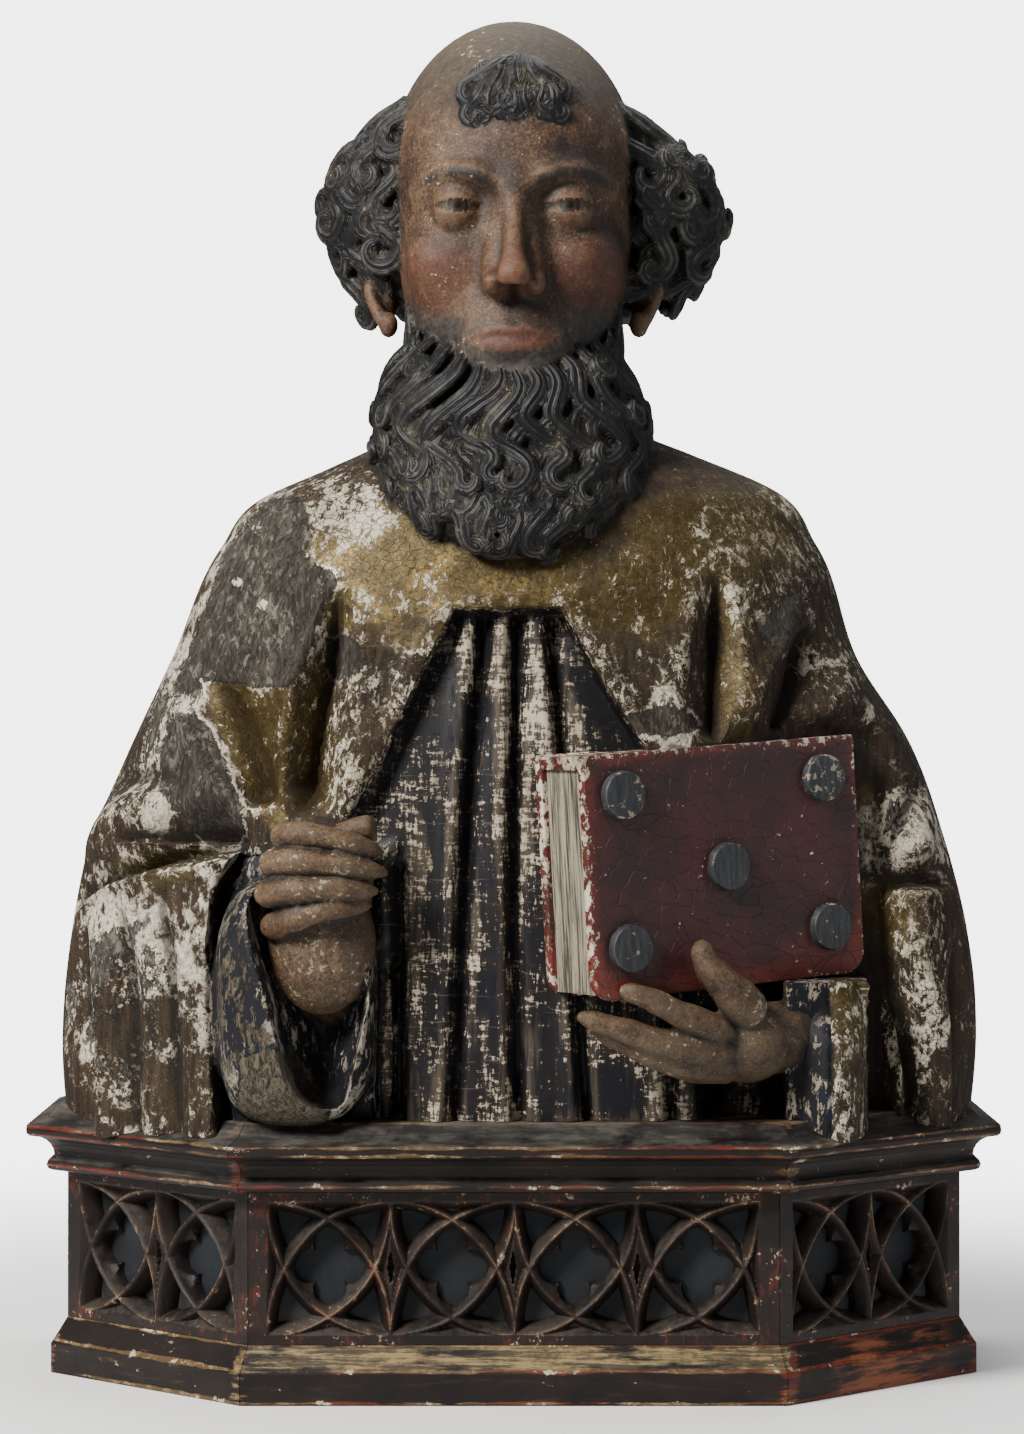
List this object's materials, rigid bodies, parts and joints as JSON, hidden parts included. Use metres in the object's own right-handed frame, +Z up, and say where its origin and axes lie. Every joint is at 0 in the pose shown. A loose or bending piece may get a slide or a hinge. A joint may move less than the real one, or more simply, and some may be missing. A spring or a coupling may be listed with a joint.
{
  "type": "wooden saint statue",
  "caption": "Half-length carved and painted wooden saint holding a book, on a hollow plinth with canted corners and pierced tracery.",
  "frame": {"origin": "on the floor, under the middle of the plinth and of the whole object's outline", "axes": "+Z up, the figure faces -Y, +X to the viewer's right"},
  "size_m": [0.571, 0.3228, 0.7944],
  "materials": {
    "figure_paint": "worn gesso, paint and leaf gold on carved wood",
    "plinth_paint": "worn dark paint over red, satin",
    "backing_paint": "matt blue-grey paint",
    "bare_board": "bare old wood"
  },
  "bodies": {
    "root": {"saint_figure": "figure_paint", "foot_side_left": "plinth_paint", "foot_cant_left": "plinth_paint", "foot_front": "plinth_paint", "foot_cant_right": "plinth_paint", "foot_side_right": "plinth_paint", "foot_back": "plinth_paint", "cornice_side_left": "plinth_paint", "cornice_cant_left": "plinth_paint", "cornice_front": "plinth_paint", "cornice_cant_right": "plinth_paint", "cornice_side_right": "plinth_paint", "cornice_back": "plinth_paint", "tracery_front": "plinth_paint", "tracery_left": "plinth_paint", "tracery_right": "plinth_paint", "backing_front": "backing_paint", "backing_left": "backing_paint", "backing_right": "backing_paint", "side_board_left": "plinth_paint", "side_board_right": "plinth_paint", "back_board": "bare_board", "top_board": "bare_board"}
  },
  "joints": []
}
